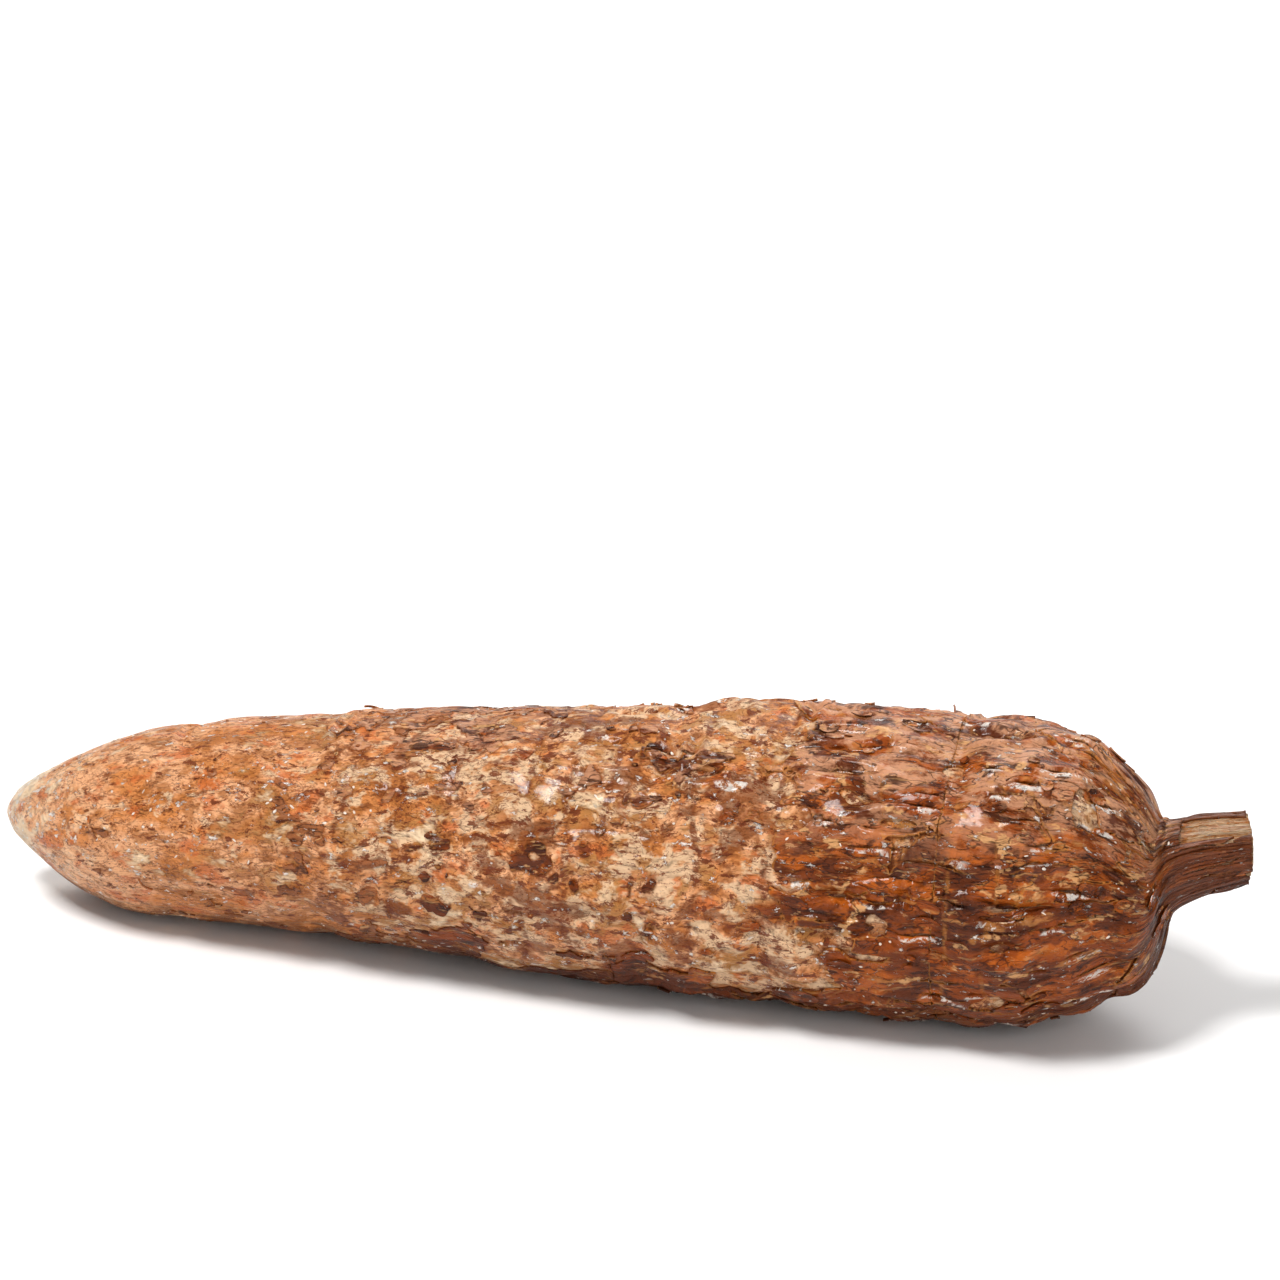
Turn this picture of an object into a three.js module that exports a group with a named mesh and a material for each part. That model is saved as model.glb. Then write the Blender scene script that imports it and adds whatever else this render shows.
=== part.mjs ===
// A whole cassava root lying on its side, in millimetres, +Z up.
// The tip points along -X and the woody neck, by which it hung from the stem, along +X.
// It grew as one piece, so it is one closed solid: a spindle swept from tip to neck, with its
// waists, bark ridges, lens-shaped splits, rootlet scars and torn strip raised or sunk in its skin.
import * as THREE from "three";

// ---- driving dimensions ----
const LENGTH = 298; // tip to the middle of the cut across the neck
const GIRTH_RADIUS = 33.2; // at the thickest place, near the neck
const NECK_RADIUS = 7; // at the cut
const NECK_START = 281.4; // distance from the tip at which the neck leaves the shoulder
const SHOULDER_LEAN = 4; // degrees that the shoulder leans back over the top of the root
const CUT_SLANT = 15; // degrees that the cut across the neck leans
const FLAT_DEPTH = 0.9; // how far the underside is pressed flat where it rests

const SEGMENTS = 64; // faces round the root
const TIP_STEPS = 8; // rings of faces along the tip, the long body, and the shoulder with the neck
const BODY_STEPS = 60;
const NECK_STEPS = 22;
const TIP_END = 26; // distances along the skin, from the tip, where those stretches meet
const BODY_END = 262;

// The spindle's half outline: distance from the tip and radius.
const OUTLINE = [
  [0, 0],
  [1.2, 2.6],
  [5, 7.4],
  [12, 12.8],
  [24, 18.9],
  [40, 23.3],
  [66, 25.2],
  [104, 27.8],
  [140, 30.5],
  [180, 32.3],
  [215, 33],
  [238, GIRTH_RADIUS],
  [252, 32.4],
  [262, 29.2],
  [270, 24.2],
  [276, 20.2],
  [279.6, 14.2],
  [NECK_START, 10.2],
  [287, 8.7],
  [LENGTH, NECK_RADIUS],
];

// The centre line: distance from the tip, sideways place and height.
const CENTRE_LINE = [
  [0, 3, 22],
  [25, 1.6, 23.6],
  [55, -0.4, 27],
  [100, -2, 30.6],
  [150, -2, 33.4],
  [200, -0.6, 35.2],
  [240, 0.6, 36],
  [252, 0.5, 36.8],
  [262, 0.5, 38.2],
  [270, 0.4, 38],
  [276, 0, 36.6],
  [279.2, 0, 36.6],
  [NECK_START, 2.4, 40.6],
  [288, 5.2, 43.4],
  [LENGTH, 8, 45.4],
];

// Waists where growth was checked: place along the skin, depth, half width and lean.
const WAISTS = [
  { at: 56, depth: 0.7, width: 4.2, lean: 2.2 },
  { at: 94, depth: 0.9, width: 4.0, lean: -1.8 },
  { at: 131, depth: 0.7, width: 3.8, lean: 1.6 },
  { at: 177, depth: 1.1, width: 4.0, lean: 2.4 },
  { at: 206, depth: 0.9, width: 3.6, lean: -1.6 },
  { at: 242, depth: 1.4, width: 4.0, lean: -1.2 },
  { at: 266, depth: 1.1, width: 3.4, lean: 1.0 },
];

const SPLITS = 44; // lens-shaped splits in the bark, longest and most common towards the neck
const SPLIT_DEPTH = 1.3;
const SCARS = 10; // scars of side rootlets, which lie across the root
const SCAR_DEPTH = 1.0;
const STRIP_DEPTH = 1.2; // of the strip of bark torn off along the top of the neck
const STRIP_ANGLE = 1.8; // radians from +Y towards +Z
const STRIP_HALF_WIDTH = 0.35; // radians

// ---- small tools ----
const TURN = 2 * Math.PI;
const smooth = (t) => t * t * (3 - 2 * t);
const rise = (t, from, to) => smooth(THREE.MathUtils.clamp((t - from) / (to - from), 0, 1));

// A fixed number between 0 and 1 for each cell of a grid.
function chance(i, j, seed) {
  const x = Math.sin(i * 127.1 + j * 311.7 + seed * 74.7) * 43758.5453;
  return x - Math.floor(x);
}

// Smooth noise from -1 to 1 on the skin, in cells of a given length with a whole number round the root.
function noise(along, angle, cellLength, cellsRound, seed) {
  const u = along / cellLength;
  const v = (angle / TURN) * cellsRound;
  const i = Math.floor(u);
  const j = Math.floor(v);
  const at = (a, b) => chance(a, THREE.MathUtils.euclideanModulo(b, cellsRound), seed);
  const lerp = THREE.MathUtils.lerp;
  const near = lerp(at(i, j), at(i, j + 1), smooth(v - j));
  const far = lerp(at(i + 1, j), at(i + 1, j + 1), smooth(v - j));
  return 2 * lerp(near, far, smooth(u - i)) - 1;
}

// The shorter way round from one angle to another.
function angleBetween(a, b) {
  const turns = (a - b) / TURN;
  return (turns - Math.round(turns)) * TURN;
}

// ---- the relief of the skin, as heights in millimetres ----
const splits = [];
for (let k = 0; k < SPLITS; k++) {
  const share = Math.sqrt(chance(k, 1, 11));
  splits.push({
    along: 60 + 212 * share,
    angle: TURN * chance(k, 2, 11),
    halfLength: 5 + 6 * chance(k, 3, 11) * share,
    halfWidth: 2 + chance(k, 4, 11),
  });
}

const scars = [];
for (let k = 0; k < SCARS; k++) {
  scars.push({
    along: 42 + 200 * chance(k, 1, 23),
    angle: TURN * chance(k, 2, 23),
    halfLength: 1.9,
    halfWidth: 5 + 2 * chance(k, 3, 23),
  });
}

// Slow swellings that keep the section from being a true circle.
function swelling(along, angle) {
  return (
    0.9 * Math.cos(2 * angle + 0.9 + along / 90) +
    0.6 * Math.cos(3 * angle - 1.3 - along / 70) +
    0.9 * noise(along, angle, 38, 5, 3)
  );
}

// The waists: a groove with a low swelling on its neck side, fainter in places round the root.
function waists(along, angle) {
  let height = 0;
  for (const { at, depth, width, lean } of WAISTS) {
    const off = (along - at - lean * Math.sin(angle + at)) / width;
    const share = 0.7 + 0.3 * noise(at, angle, 10, 7, 5);
    height += share * depth * (0.4 * Math.exp(-((off - 2.2) ** 2)) - Math.exp(-off * off));
  }
  return height;
}

// Long plates of bark with creases between them, bolder towards the neck.
function plates(along, angle) {
  const strength = 0.3 + 0.7 * rise(along, 100, 215);
  const long = Math.abs(noise(along, angle, 24, 18, 7));
  const short = Math.abs(noise(along, angle, 11, 26, 8));
  return strength * (1.9 * Math.sqrt(long) - 1.3 + 0.9 * short);
}

// Ribs that gather over the shoulder and run on to the neck.
function ribs(along, angle) {
  const bend = 1.5 * Math.sin(2 * angle + 1) + 0.9 * Math.sin(5 * angle);
  return 0.55 * rise(along, 246, 272) * Math.cos(13 * angle + bend);
}

// A sunk lens with a raised lip round it.
function lens(along, angle, radius, place, depth) {
  const u = (along - place.along) / place.halfLength;
  const v = (angleBetween(angle, place.angle) * radius) / place.halfWidth;
  const d = u * u + v * v;
  return depth * (0.7 * Math.exp(-1.6 * (d - 1.5) ** 2) - Math.exp(-1.4 * d));
}

// ---- the skin ----
const spindle = new THREE.SplineCurve(OUTLINE.map(([x, r]) => new THREE.Vector2(x, r)));
spindle.arcLengthDivisions = 1200;
const skinLength = spindle.getLength();
const neckSkin = skinLength - (LENGTH - NECK_START) - 1; // where the neck begins, along the skin

const sideways = new THREE.SplineCurve(CENTRE_LINE.map(([x, y]) => new THREE.Vector2(x, y)));
const upward = new THREE.SplineCurve(CENTRE_LINE.map(([x, , z]) => new THREE.Vector2(x, z)));

// The second value of a curve where its first one, which only grows, reaches x.
function valueAt(curve, x) {
  let low = 0;
  let high = 1;
  for (let n = 0; n < 40; n++) {
    const middle = (low + high) / 2;
    if (curve.getPoint(middle).x < x) low = middle;
    else high = middle;
  }
  return curve.getPoint(low).y;
}

// Height of the skin over the plain spindle.
function relief(along, angle, radius) {
  const onTip = rise(along, 2, 20);
  const onBody = 1 - rise(along, neckSkin - 15, neckSkin - 2);
  const onBark = 0.4 + 0.6 * onBody;
  let height = onTip * onBody * swelling(along, angle) + onTip * waists(along, angle);
  height += onTip * onBark * plates(along, angle) + (0.5 + 0.5 * onBody) * ribs(along, angle);
  for (const split of splits) height += onBody * lens(along, angle, radius, split, SPLIT_DEPTH);
  for (const scar of scars) height += onBody * lens(along, angle, radius, scar, SCAR_DEPTH);
  const fromStrip = Math.abs(angleBetween(angle, STRIP_ANGLE));
  const nearTop = 1 - rise(fromStrip, STRIP_HALF_WIDTH, STRIP_HALF_WIDTH + 0.35);
  return height - STRIP_DEPTH * nearTop * rise(along, neckSkin + 2, neckSkin + 5);
}

// Distances along the skin at which the rings of vertices lie.
function stations() {
  const places = [];
  const stretch = (from, to, steps) => {
    for (let i = 0; i < steps; i++) places.push(THREE.MathUtils.lerp(from, to, i / steps));
  };
  stretch(0, TIP_END, TIP_STEPS);
  stretch(TIP_END, BODY_END, BODY_STEPS);
  stretch(BODY_END, skinLength, NECK_STEPS);
  return [...places, skinLength];
}

// One ring of the skin, as its centre and a point for each angle, turned from +Y towards +Z.
function skinRing(along) {
  const { x, y: radius } = spindle.getPointAt(along / skinLength);
  const centre = new THREE.Vector3(x, valueAt(sideways, x), valueAt(upward, x));
  const slant = Math.tan(THREE.MathUtils.degToRad(CUT_SLANT)) * rise(x, NECK_START, LENGTH);
  const onShoulder = rise(x, 250, 276) * (1 - rise(x, NECK_START + 2, LENGTH));
  const lean = Math.tan(THREE.MathUtils.degToRad(SHOULDER_LEAN)) * onShoulder;
  const points = [];
  for (let i = 0; i < SEGMENTS; i++) {
    const angle = (TURN * i) / SEGMENTS;
    const r = radius > 0 ? radius + relief(along, angle, radius) : 0;
    const back = slant * Math.cos(angle) + lean * Math.sin(angle);
    const out = new THREE.Vector3(-back, Math.cos(angle), Math.sin(angle));
    points.push(out.multiplyScalar(r).add(centre));
  }
  return { centre, points };
}

// The swept solid: a lathe's faces, with each of its vertices moved to its place on the skin.
function rootGeometry() {
  const rings = stations().map(skinRing);
  rings.push({ centre: rings.at(-1).centre, points: Array(SEGMENTS).fill(rings.at(-1).centre) });

  const profile = rings.map((ring, i) => new THREE.Vector2(i > 0 && i < rings.length - 1 ? 1 : 0, i));
  const geometry = new THREE.LatheGeometry(profile, SEGMENTS);
  const position = geometry.getAttribute("position");
  for (let i = 0; i < position.count; i++) {
    const ring = rings[i % rings.length];
    const { x, y, z } = ring.points[Math.floor(i / rings.length) % SEGMENTS];
    position.setXYZ(i, x, y, z);
  }
  restOnFlat(position);
  geometry.deleteAttribute("uv");
  geometry.computeVertexNormals();
  return geometry;
}

// Levels the lowest places, then puts the origin at the middle of the surface the root rests on.
function restOnFlat(position) {
  const box = new THREE.Box3().setFromBufferAttribute(position);
  const middle = box.getCenter(new THREE.Vector3());
  const floor = box.min.z + FLAT_DEPTH;
  for (let i = 0; i < position.count; i++) {
    const height = Math.max(0, position.getZ(i) - floor);
    position.setXYZ(i, position.getX(i) - middle.x, position.getY(i) - middle.y, height);
  }
}

const bark = new THREE.MeshStandardMaterial({ color: 0x9a5f3a, roughness: 0.6, metalness: 0 });
const root = new THREE.Mesh(rootGeometry(), bark);
root.name = "cassava_root";

const model = new THREE.Group();
model.add(root);
export default model;
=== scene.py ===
"""Dresses the modelled cassava root: its rind, the cork bark that flakes off it, loose scales, wax and rootlets."""

import math
from collections import namedtuple

import bpy
import numpy as np
from bpy.props import FloatProperty, FloatVectorProperty, IntProperty, PointerProperty
from bpy.types import Operator, Panel, PropertyGroup
from mathutils import Euler, Matrix, Vector


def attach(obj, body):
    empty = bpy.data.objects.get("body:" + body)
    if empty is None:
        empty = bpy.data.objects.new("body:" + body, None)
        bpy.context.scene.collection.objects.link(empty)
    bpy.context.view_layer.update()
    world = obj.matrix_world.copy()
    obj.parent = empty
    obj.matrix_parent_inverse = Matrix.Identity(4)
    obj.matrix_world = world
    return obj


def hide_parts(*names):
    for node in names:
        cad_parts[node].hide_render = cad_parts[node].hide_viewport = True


bl_info = {
    "name": "Cassava Root",
    "version": (1, 0, 0),
    "blender": (4, 5, 0),
    "location": "3D View > Sidebar > Cassava",
    "description": "Rind, flaking cork bark, loose scales, wax and rootlets of a cassava root",
    "category": "Add Mesh",
}

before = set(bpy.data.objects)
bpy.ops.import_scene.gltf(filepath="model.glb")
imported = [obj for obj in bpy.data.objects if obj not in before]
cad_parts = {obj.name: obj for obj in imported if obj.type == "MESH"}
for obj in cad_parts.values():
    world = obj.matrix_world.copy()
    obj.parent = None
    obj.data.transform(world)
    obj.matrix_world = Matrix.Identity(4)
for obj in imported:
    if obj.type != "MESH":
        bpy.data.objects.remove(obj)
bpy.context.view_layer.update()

# ---- form of the root, in millimetres, as in the solid ----
LENGTH = 298
NECK_START = 281.4
CUT_SLANT = math.radians(15)
SHOULDER_LEAN = math.radians(4)
FLAT_DEPTH = 0.9
OUTLINE = [  # distance from the tip and radius
    (0, 0), (1.2, 2.6), (5, 7.4), (12, 12.8), (24, 18.9), (40, 23.3), (66, 25.2), (104, 27.8),
    (140, 30.5), (180, 32.3), (215, 33), (238, 33.2), (252, 32.4), (262, 29.2), (270, 24.2), (276, 20.2),
    (279.6, 14.2), (NECK_START, 10.2), (287, 8.7), (LENGTH, 7),
]
CENTRE_LINE = [  # distance from the tip, sideways place and height
    (0, 3, 22), (25, 1.6, 23.6), (55, -0.4, 27), (100, -2, 30.6), (150, -2, 33.4), (200, -0.6, 35.2),
    (240, 0.6, 36), (252, 0.5, 36.8), (262, 0.5, 38.2), (270, 0.4, 38), (276, 0, 36.6), (279.2, 0, 36.6),
    (NECK_START, 2.4, 40.6), (288, 5.2, 43.4), (LENGTH, 8, 45.4),
]
WAISTS = [  # place along the skin, depth, half width and lean
    (56, 0.7, 4.2, 2.2), (94, 0.9, 4.0, -1.8), (131, 0.7, 3.8, 1.6), (177, 1.1, 4.0, 2.4),
    (206, 0.9, 3.6, -1.6), (242, 1.4, 4.0, -1.2), (266, 1.1, 3.4, 1.0),
]
LEAN_START, LEAN_END = 250, 276  # where the shoulder begins and ends to lean
SPLITS = 44
SPLIT_DEPTH = 1.3
SCARS = 10
SCAR_DEPTH = 1.0
STRIP_DEPTH = 1.2
STRIP_ANGLE = 1.8
STRIP_HALF_WIDTH = 0.35
STRIP_FADE = 0.35
PEELS = [  # where the bark is torn down to the rind: distance from the tip, angle, half length and half width
    (234, 1.99, 2.6, 1.5), (214, 2.28, 3.0, 1.2), (221, 3.13, 3.2, 1.6), (264, 2.2, 3.2, 3.8), (201, 2.45, 4.5, 2.6),
    (189, 2.9, 4.0, 2.2), (208, 3.6, 3.6, 1.7), (246, 3.75, 3.4, 1.4), (238, 5.3, 4.6, 2.4), (226, 0.4, 3.8, 2.6),
]
RING_LINES = (104, 118, 131, 148, 159, 168, 188, 206, 229, 245, 256)  # fine lines round the root, along its skin
RING_WIDTH = 0.8  # in mm
FISSURES = 380  # small cracks in the bark, too fine for the solid
SOLID_RINGS = ((0, 26, 8), (26, 262, 60), (262, None, 22))  # stretches of the solid's skin and their steps
SOLID_SEGMENTS = 64
CUT_RINGS = 6  # rings of faces over the cut across the neck
CUT_HOLLOW = 0.9  # depth of the cut's middle
CUT_GRAIN_START = np.array([400, 0, 0])  # where the grain of the cut lies, clear of the skin's patterns
CUT_GRAIN_RADIUS = 9

MM = 0.001
TURN = 2 * math.pi
GIRTH = 30  # radius, in mm, at which patterns on the skin have their true width
TIP_GIRTH = 25  # radius of the root, in mm, where its tip ends


# ---- small tools ----
def smooth(t):
    return t * t * (3 - 2 * t)


def rise(t, start, end):
    """0 before start, 1 after end and smooth between them, in either direction."""
    return smooth(np.clip((t - start) / (end - start), 0, 1))


def chance(i, j, seed):
    """A fixed number between 0 and 1 for each cell of a grid."""
    x = np.sin(i * 127.1 + j * 311.7 + seed * 74.7) * 43758.5453
    return x - np.floor(x)


def noise(along, angle, cell_length, cells_round, seed):
    """Smooth noise from -1 to 1 on the skin, with a whole number of cells round the root."""
    u = along / cell_length
    v = angle / TURN * cells_round
    i, j = np.floor(u), np.floor(v)
    fu, fv = smooth(u - i), smooth(v - j)

    def at(a, b):
        return chance(a, np.mod(b, cells_round), seed)

    near = at(i, j) * (1 - fv) + at(i, j + 1) * fv
    far = at(i + 1, j) * (1 - fv) + at(i + 1, j + 1) * fv
    return 2 * (near * (1 - fu) + far * fu) - 1


def layered(along, angle, cell_length, cell_width, layers, seed):
    """Noise in several layers, each half the size of the last and a little over half as strong."""
    total, strength, sum_of = 0, 1, 0
    for k in range(layers):
        cells = max(3, round(TURN * GIRTH / cell_width * 2**k))
        total = total + strength * noise(along, angle, cell_length / 2**k, cells, seed + k)
        sum_of += strength
        strength *= 0.6
    return total / sum_of


def angle_between(a, b):
    turns = (a - b) / TURN
    return (turns - np.round(turns)) * TURN


def curve_points(points, count):
    """Points along a Catmull-Rom curve at even steps of its parameter."""
    p = np.array(points, float)
    last = len(p) - 1
    t = np.linspace(0, 1, count) * last
    i = np.minimum(np.floor(t).astype(int), last)
    w = (t - i)[:, None]
    p0, p1, p2, p3 = (p[np.clip(i + k, 0, last)] for k in (-1, 0, 1, 2))
    v0, v1 = (p2 - p0) / 2, (p3 - p1) / 2
    return (2 * p1 - 2 * p2 + v0 + v1) * w**3 + (3 * p2 - 3 * p1 - 2 * v0 - v1) * w**2 + v0 * w + p1


# ---- the skin, as in the solid ----
SPINDLE = curve_points(OUTLINE, 6001)
SPINDLE_ALONG = np.concatenate([[0], np.cumsum(np.hypot(*np.diff(SPINDLE, axis=0).T))])
SKIN_LENGTH = SPINDLE_ALONG[-1]
NECK_SKIN = SKIN_LENGTH - (LENGTH - NECK_START) - 1
CENTRE = curve_points(CENTRE_LINE, 6001)


def spindle_radius(along):
    return np.interp(along, SPINDLE_ALONG, SPINDLE[:, 1])


def split_places():
    places = []
    for k in range(SPLITS):
        share = math.sqrt(chance(k, 1, 11))
        half_length = 5 + 6 * chance(k, 3, 11) * share
        places.append((60 + 212 * share, TURN * chance(k, 2, 11), half_length, 2 + chance(k, 4, 11)))
    return places


def scar_places():
    return [
        (42 + 200 * chance(k, 1, 23), TURN * chance(k, 2, 23), 1.9, 5 + 2 * chance(k, 3, 23))
        for k in range(SCARS)
    ]


def lens_distance(along, angle, radius, place):
    """Square of the distance from a lens's middle, which is 1 on its rim."""
    at, turned, half_length, half_width = place
    u = (along - at) / half_length
    v = angle_between(angle, turned) * radius / half_width
    return u * u + v * v


def relief(along, angle, radius):
    """Height, in mm, of the solid's skin over the plain spindle."""
    on_tip = rise(along, 2, 20)
    on_body = 1 - rise(along, NECK_SKIN - 15, NECK_SKIN - 2)
    swelling = 0.9 * np.cos(2 * angle + 0.9 + along / 90) + 0.6 * np.cos(3 * angle - 1.3 - along / 70)
    swelling = swelling + 0.9 * noise(along, angle, 38, 5, 3)
    height = on_tip * on_body * swelling
    for at, depth, width, lean in WAISTS:
        off = (along - at - lean * np.sin(angle + at)) / width
        share = 0.7 + 0.3 * noise(at, angle, 10, 7, 5)
        height += on_tip * share * depth * (0.4 * np.exp(-((off - 2.2) ** 2)) - np.exp(-off * off))
    long = np.abs(noise(along, angle, 24, 18, 7))
    short = np.abs(noise(along, angle, 11, 26, 8))
    plates = (0.3 + 0.7 * rise(along, 100, 215)) * (1.9 * np.sqrt(long) - 1.3 + 0.9 * short)
    height += on_tip * (0.4 + 0.6 * on_body) * plates
    bend = 1.5 * np.sin(2 * angle + 1) + 0.9 * np.sin(5 * angle)
    height += (0.5 + 0.5 * on_body) * 0.55 * rise(along, 246, 272) * np.cos(13 * angle + bend)
    for places, depth in ((split_places(), SPLIT_DEPTH), (scar_places(), SCAR_DEPTH)):
        for place in places:
            d = lens_distance(along, angle, radius, place)
            height += on_body * depth * (0.7 * np.exp(-1.6 * (d - 1.5) ** 2) - np.exp(-1.4 * d))
    return height - STRIP_DEPTH * torn_strip(along, angle)


def torn_strip(along, angle):
    """1 on the strip of bark torn off along the top of the neck."""
    off = np.abs(angle_between(angle, STRIP_ANGLE))
    near_top = 1 - rise(off, STRIP_HALF_WIDTH, STRIP_HALF_WIDTH + STRIP_FADE)
    return near_top * rise(along, NECK_SKIN + 2, NECK_SKIN + 5)


def fissure_places():
    places = []
    for k in range(FISSURES):
        share = chance(k, 1, 31) ** 0.6
        half_length = 1.4 + 5.6 * chance(k, 3, 31) ** 1.5 * share
        lean = 0.24 * (chance(k, 4, 31) - 0.5)
        places.append((52 + 226 * share, TURN * chance(k, 2, 31), half_length, 0.3 + 0.1 * half_length, lean))
    return places


def fissures(along, angle):
    """How far inside a fissure each place of a grid is, in mm and negative outside, and the height of its lips."""
    radius = spindle_radius(along)
    inside = np.full(along.shape, -9.0)
    lips = np.zeros(along.shape)
    for at, turned, half_length, half_width, lean in fissure_places():
        reach = 1.25 * half_length
        rows = slice(*np.searchsorted(along[:, 0], (at - reach, at + reach)))
        off = along[rows] - at
        gape = half_width * (1 - (off / half_length) ** 2)
        across = angle_between(angle[rows], turned) * radius[rows] - lean * off
        inside[rows] = np.maximum(inside[rows], gape - np.abs(across))
        upper = np.where(across > 0, 1.0, 0.45)
        rim = np.exp(-(((np.abs(across) - np.maximum(gape, 0) - 0.4) / 0.6) ** 2))
        lips[rows] += upper * rim * np.exp(-((off / half_length) ** 4)) * (0.3 + 0.06 * half_length)
    return inside, lips


def ring_lines(along, angle):
    """How near each place is, up to 1, to the fine lines round the root where its growth was checked."""
    near = np.zeros(along.shape)
    for at in RING_LINES:
        wander = 1.5 * noise(at, angle, 10, 11, 87) + 0.8 * noise(at, angle, 10, 37, 88)
        off = along - at - 1.6 * math.sin(at) * np.sin(angle + at) - wander
        there = rise(noise(at, angle, 10, 12, 89), -0.8, 0.0) * (0.7 + 0.4 * noise(along, angle, 3, 60, 90))
        near = np.maximum(near, there * np.exp(-((off / RING_WIDTH) ** 2)))
    return near


def wrinkles(along, angle):
    """Height, in mm, of the fine relief that the solid leaves out: short wrinkles, and long grain on the neck."""
    on_neck = rise(along, NECK_SKIN - 6, NECK_SKIN + 2)
    short = layered(along, angle, 7, 2.4, 2, 41)
    grain = layered(along, angle, 24, 5, 3, 47)
    pits = np.minimum(0, layered(along, angle, 3.2, 3.0, 2, 53) + 0.25)
    inside, lips = fissures(along, angle)
    cracked = lips - 1.1 * np.clip(inside / 0.6, 0, 1)
    creased = 0.22 * short + 0.5 * pits + cracked - 0.3 * ring_lines(along, angle)
    return (1 - on_neck) * creased + on_neck * 0.45 * grain


def skin(along, angle, fine=True):
    """Points of the skin, in mm, before the root is rested. along and angle are arrays of one shape."""
    x = np.interp(along, SPINDLE_ALONG, SPINDLE[:, 0])
    radius = spindle_radius(along)
    out = radius + relief(along, angle, radius)
    if fine:
        out += rise(along, 1, 9) * wrinkles(along, angle)
    out = np.where(radius > 1e-6, out, 0)
    slant = math.tan(CUT_SLANT) * rise(x, NECK_START, LENGTH)
    y = np.interp(x, CENTRE[:, 0], CENTRE[:, 1])
    z = np.interp(x, CENTRE[:, 0], CENTRE[:, 2])
    lean = math.tan(SHOULDER_LEAN) * rise(x, LEAN_START, LEAN_END) * (1 - rise(x, NECK_START + 2, LENGTH))
    across, up = out * np.cos(angle), out * np.sin(angle)
    return np.stack([x - slant * across - lean * up, y + across, z + up], axis=-1)


def resting_shift():
    """What moves the skin to where the solid lies: its middle sideways, and the level of its flat underside."""
    places = []
    for start, end, steps in SOLID_RINGS:
        places += list(np.linspace(start, end or SKIN_LENGTH, steps, endpoint=False))
    along, angle = np.meshgrid(
        np.array(places + [SKIN_LENGTH]), TURN * np.arange(SOLID_SEGMENTS) / SOLID_SEGMENTS, indexing="ij"
    )
    points = skin(along, angle, fine=False).reshape(-1, 3)
    low, high = points.min(0), points.max(0)
    return np.array([(low[0] + high[0]) / 2, (low[1] + high[1]) / 2, low[2] + FLAT_DEPTH])


SHIFT = resting_shift()


def rest(points, least=0.0):
    """Puts points of the skin where the root lies, with nothing lower than its flat underside."""
    points = points - SHIFT
    points[..., 2] = np.maximum(points[..., 2], least)
    return points


def skin_grid(start, end, step, segments):
    rings = max(2, round((end - start) / step)) + 1
    return np.meshgrid(np.linspace(start, end, rings), TURN * np.arange(segments) / segments, indexing="ij")


def grid_normals(points):
    """Outward normals of a grid of points that is closed round its second axis."""
    ahead = np.gradient(points, axis=0)
    round_ = np.roll(points, -1, axis=1) - np.roll(points, 1, axis=1)
    n = np.cross(round_, ahead)
    return n / np.maximum(np.linalg.norm(n, axis=-1, keepdims=True), 1e-9)


# ---- where the cork bark still holds ----
BARK_HOLD = [  # place along the skin and how well the bark holds there: above 0 it covers more than half
    (0, -1), (30, -0.8), (62, -0.56), (90, -0.48), (106, -0.16), (122, 0.08), (148, -0.34), (180, -0.22),
    (198, -0.5), (208, -0.36), (217, 0.24), (230, 0.68), (290, 0.56), (SKIN_LENGTH, 0.9),
]
BARK_SHEETS = (  # name of each sheet of bark, and where it starts and ends along the skin
    ("bark_tip", 9, 168), ("bark_body", 168, 242), ("bark_shoulder", 242, SKIN_LENGTH - 0.3),
)
BARK_STEP, BARK_SEGMENTS = 0.6, 340  # distance between rings of the bark's grid, in mm, and its faces round the root
OUTER_STRETCH = (10, SKIN_LENGTH - 3)  # where the skin that small things are scattered on starts and ends
OUTER_STEP, OUTER_SEGMENTS = 1.3, 150  # the same for its grid
EDGE_WIDTH = 0.09  # how near its edge, in the bark's field, a sheet curls up
SUNK = 0.18  # how deep, in mm, the underside of a sheet lies in the rind
RIND_FLOOR, BARK_FLOOR = 0.2, 0.02  # least height of each over the floor, in mm
CLEAR_OF_FLOOR = 3  # height in mm below which no small things are scattered


def crack_distance(along, angle, cell_length, cells_round, seed):
    """Distance to the nearest edge between jittered cells, in cells: it is 0 on the cracks between bark plates."""
    u = along / cell_length
    v = angle / TURN * cells_round
    i, j = np.floor(u), np.floor(v)
    first = np.full(u.shape, 9.0)
    second = np.full(u.shape, 9.0)
    for a in (-1, 0, 1):
        for b in (-1, 0, 1):
            ci, cj = i + a, np.mod(j + b, cells_round)
            du = ci + 0.15 + 0.7 * chance(ci, cj, seed) - u
            dv = j + b + 0.15 + 0.7 * chance(ci, cj, seed + 1) - v
            d = np.hypot(du, dv)
            second = np.minimum(second, np.maximum(first, d))
            first = np.minimum(first, d)
    return second - first


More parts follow.
